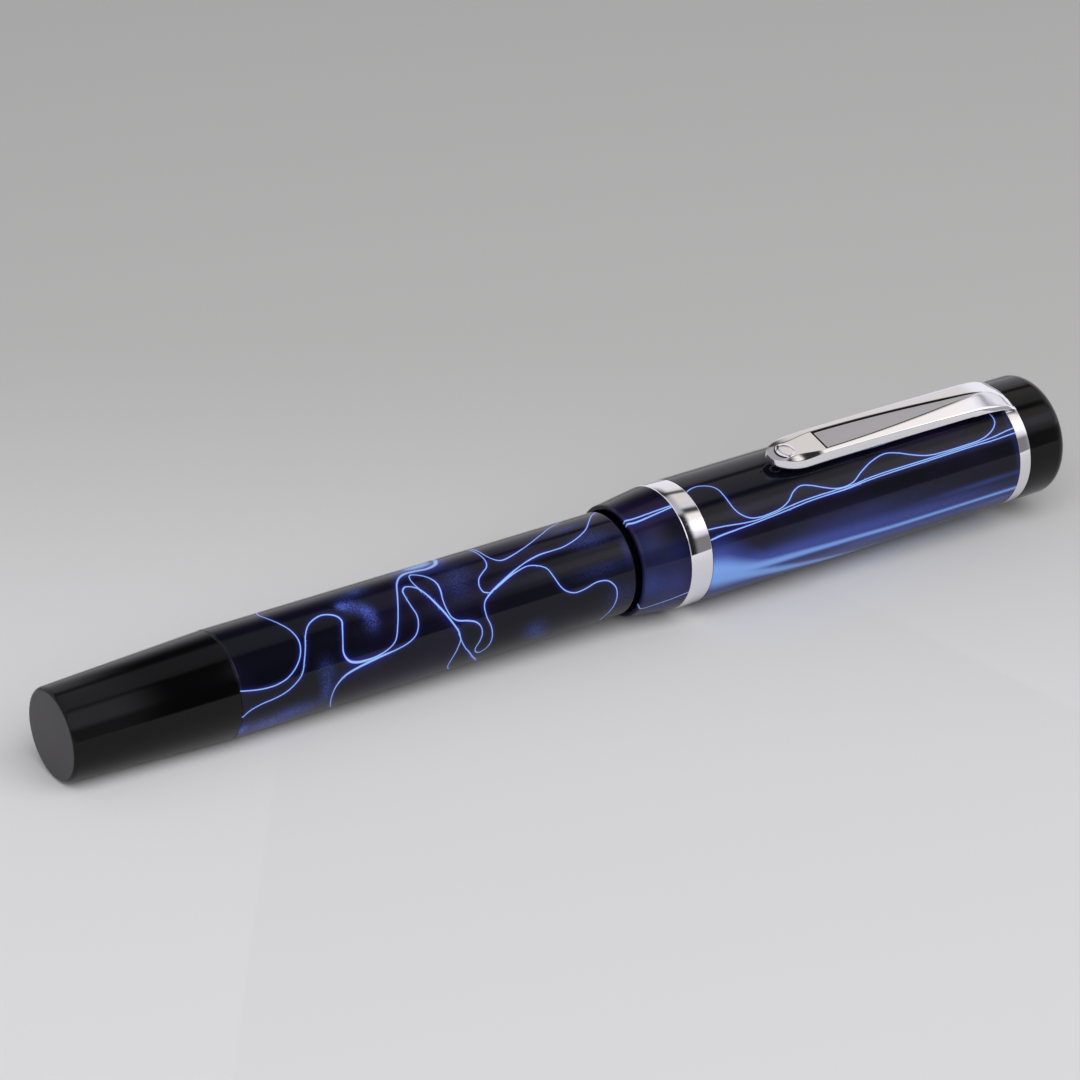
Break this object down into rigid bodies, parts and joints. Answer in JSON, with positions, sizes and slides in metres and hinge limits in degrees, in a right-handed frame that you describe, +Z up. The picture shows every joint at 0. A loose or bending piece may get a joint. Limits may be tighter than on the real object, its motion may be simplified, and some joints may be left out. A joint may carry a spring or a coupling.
{
  "type": "fountain pen",
  "caption": "Flat-top fountain pen lying capped: dark swirled resin barrel and screw cap, metal band, ring and clip; grip section, nib and screw converter inside.",
  "frame": {"origin": "centre of the bounding box's footprint, on the surface the capped pen lies on", "axes": "+X along the pen from the black barrel end to the crown, +Z up, -Y the side the clip leans to"},
  "size_m": [0.1368, 0.015, 0.0171],
  "materials": {
    "swirl_resin": "polished, dark blue with pale veins",
    "black_resin": "polished",
    "polished_trim": "mirror polished",
    "steel": "fine turned",
    "brass": "turned",
    "clear_plastic": "clear moulded",
    "black_rubber": "matt",
    "white_plastic": "moulded"
  },
  "bodies": {
    "barrel": {"barrel_end": "black_resin", "barrel": "swirl_resin", "barrel_bush": "brass"},
    "sleeve": {"section_sleeve": "steel", "seal_ring": "black_rubber"},
    "section": {"section_grip": "black_resin", "nib_housing": "black_resin", "feed": "black_resin", "nib": "steel"},
    "liner": {"inner_cap": "black_resin"},
    "cap": {"cap_lip": "swirl_resin", "cap_band": "polished_trim", "cap_tube": "swirl_resin", "clip_ring": "polished_trim", "crown_stud": "brass", "cap_crown": "black_resin"},
    "clip": {"clip": "polished_trim", "clip_ball": "polished_trim"},
    "converter": {"converter_tube": "clear_plastic", "converter_collar": "polished_trim"},
    "piston": {"piston_seal": "black_rubber", "piston_rod": "white_plastic"},
    "knob": {"converter_knob": "black_resin"}
  },
  "joints": [
    {"name": "section_pull", "type": "slide", "parent": "barrel", "child": "sleeve", "axis": [1, 0, 0], "range_m": [0, 0.062]},
    {"name": "section_turn", "type": "hinge", "parent": "sleeve", "child": "section", "pos_m": [0, 0, 0.0075], "axis": [1, 0, 0], "range_deg": [0, 1080]},
    {"name": "cap_pull", "type": "slide", "parent": "section", "child": "liner", "axis": [1, 0, 0], "range_m": [0, 0.06]},
    {"name": "cap_turn", "type": "hinge", "parent": "liner", "child": "cap", "pos_m": [0, 0, 0.0075], "axis": [1, 0, 0], "range_deg": [0, 540]},
    {"name": "clip_flex", "type": "hinge", "parent": "cap", "child": "clip", "pos_m": [0.0619, -0.00203, 0.01508], "axis": [0, 0.9659, 0.2588], "range_deg": [0, 4], "stiffness_Nm_per_rad": 3},
    {"name": "converter_pull", "type": "slide", "parent": "section", "child": "converter", "axis": [-1, 0, 0], "range_m": [0, 0.008]},
    {"name": "knob_turn", "type": "hinge", "parent": "converter", "child": "knob", "pos_m": [0, 0, 0.0075], "axis": [1, 0, 0], "range_deg": [0, 1440]},
    {"name": "piston_slide", "type": "slide", "parent": "converter", "child": "piston", "axis": [1, 0, 0], "range_m": [0, 0.016]}
  ],
  "couplings": [
    {"joint": "knob_turn", "follows": "piston_slide", "rad_per_m": 1570.8}
  ]
}
